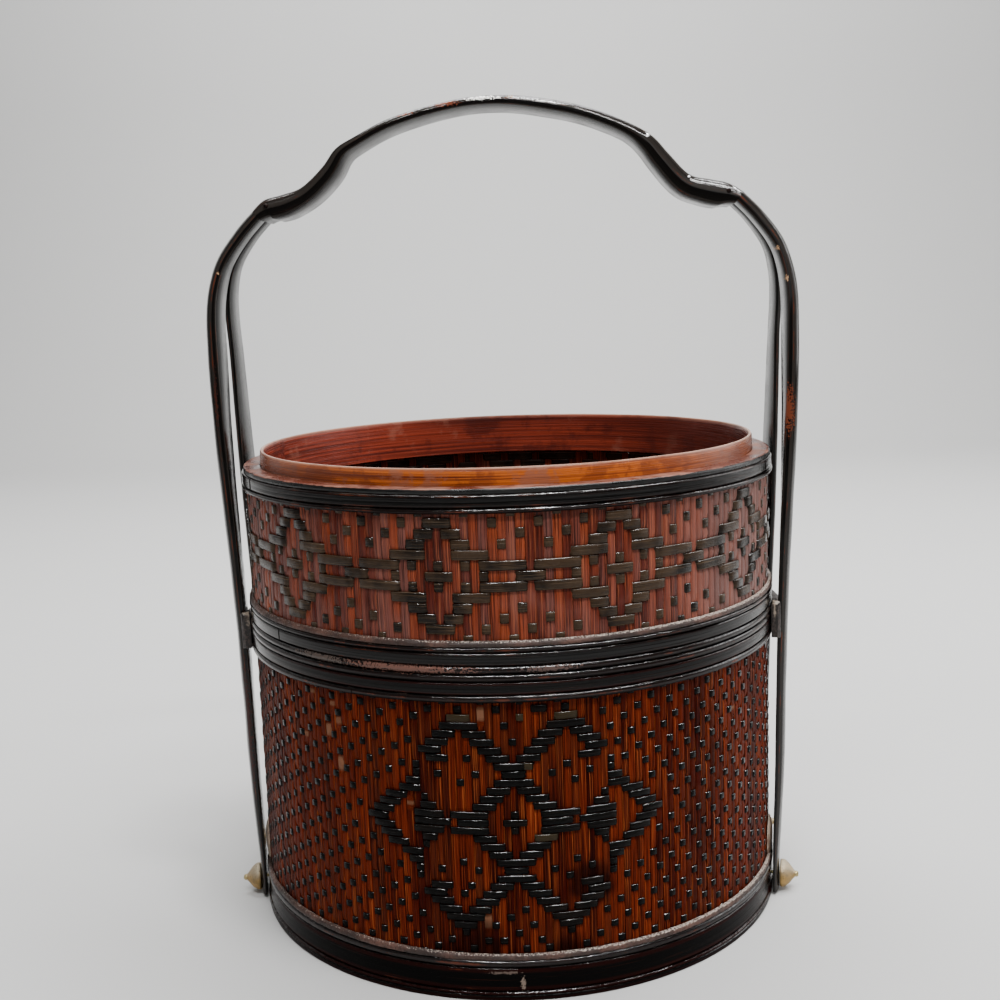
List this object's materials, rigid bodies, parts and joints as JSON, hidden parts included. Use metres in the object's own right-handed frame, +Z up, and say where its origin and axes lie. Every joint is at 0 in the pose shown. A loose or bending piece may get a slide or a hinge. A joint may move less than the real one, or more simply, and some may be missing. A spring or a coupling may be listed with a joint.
{
  "type": "tiered bamboo food basket",
  "caption": "Round lacquered bamboo food basket with an open shallow tray that lifts off a deep lower box, woven walls, dark hoops and a fixed bow handle on split legs.",
  "frame": {"origin": "on the ground, under the middle of the round tiers", "axes": "+Z up; the bow handle stands across the tiers in the XZ plane, the front of the pattern faces -Y"},
  "size_m": [0.25, 0.23, 0.344],
  "materials": {
    "black_lacquer": "glossy black lacquer over bamboo, worn brown on the edges",
    "rubbed_lacquer": "thin red-brown lacquer, rubbed",
    "amber_lacquer": "amber lacquer over straight bamboo grain, semi-gloss",
    "red_weave": "fine red-brown woven splints with black weft, semi-gloss",
    "rose_weave": "coarser dusty rose-brown woven splints with dark floats, semi-gloss",
    "bare_bamboo": "dusty raw bamboo, matt",
    "dark_board": "dark stained bamboo board, matt",
    "aged_brass": "dull, dusty old brass",
    "brass": "worn bright"
  },
  "bodies": {
    "basket": {"base_bottom_rib": "black_lacquer", "base_hoop": "black_lacquer", "base_top_rib": "black_lacquer", "base_edge_strip": "bare_bamboo", "lower_rim_bottom_rib": "black_lacquer", "lower_rim_hoop": "black_lacquer", "lower_rim_top_rib": "black_lacquer", "lower_wall": "red_weave", "lower_ledge_ring": "rubbed_lacquer", "lower_packing_hoop": "dark_board", "lower_collar": "amber_lacquer", "lower_floor": "dark_board", "left_floor_batten": "black_lacquer", "right_floor_batten": "black_lacquer", "handle_bow": "black_lacquer", "left_shoulder_pin": "rubbed_lacquer", "right_shoulder_pin": "rubbed_lacquer", "left_side_rail": "black_lacquer", "right_side_rail": "black_lacquer", "left_front_leg": "black_lacquer", "left_front_boss": "aged_brass", "left_front_nail": "brass", "left_front_packing_slip": "bare_bamboo", "left_rear_leg": "black_lacquer", "left_rear_boss": "aged_brass", "left_rear_nail": "brass", "left_rear_packing_slip": "bare_bamboo", "right_front_leg": "black_lacquer", "right_front_boss": "aged_brass", "right_front_nail": "brass", "right_front_packing_slip": "bare_bamboo", "right_rear_leg": "black_lacquer", "right_rear_boss": "aged_brass", "right_rear_nail": "brass", "right_rear_packing_slip": "bare_bamboo"},
    "upper_tier": {"upper_foot_bottom_rib": "black_lacquer", "upper_foot_hoop": "black_lacquer", "upper_foot_top_rib": "black_lacquer", "upper_edge_strip": "bare_bamboo", "upper_rim_rib": "black_lacquer", "upper_rim_hoop": "black_lacquer", "upper_wall": "rose_weave", "upper_ledge_ring": "rubbed_lacquer", "upper_packing_hoop": "dark_board", "upper_collar": "amber_lacquer", "upper_foot_packing_hoop": "dark_board", "upper_floor": "dark_board"}
  },
  "joints": [
    {"name": "upper_tier_lift", "type": "slide", "parent": "basket", "child": "upper_tier", "axis": [0, 0, 1], "range_m": [0, 0.06]}
  ]
}
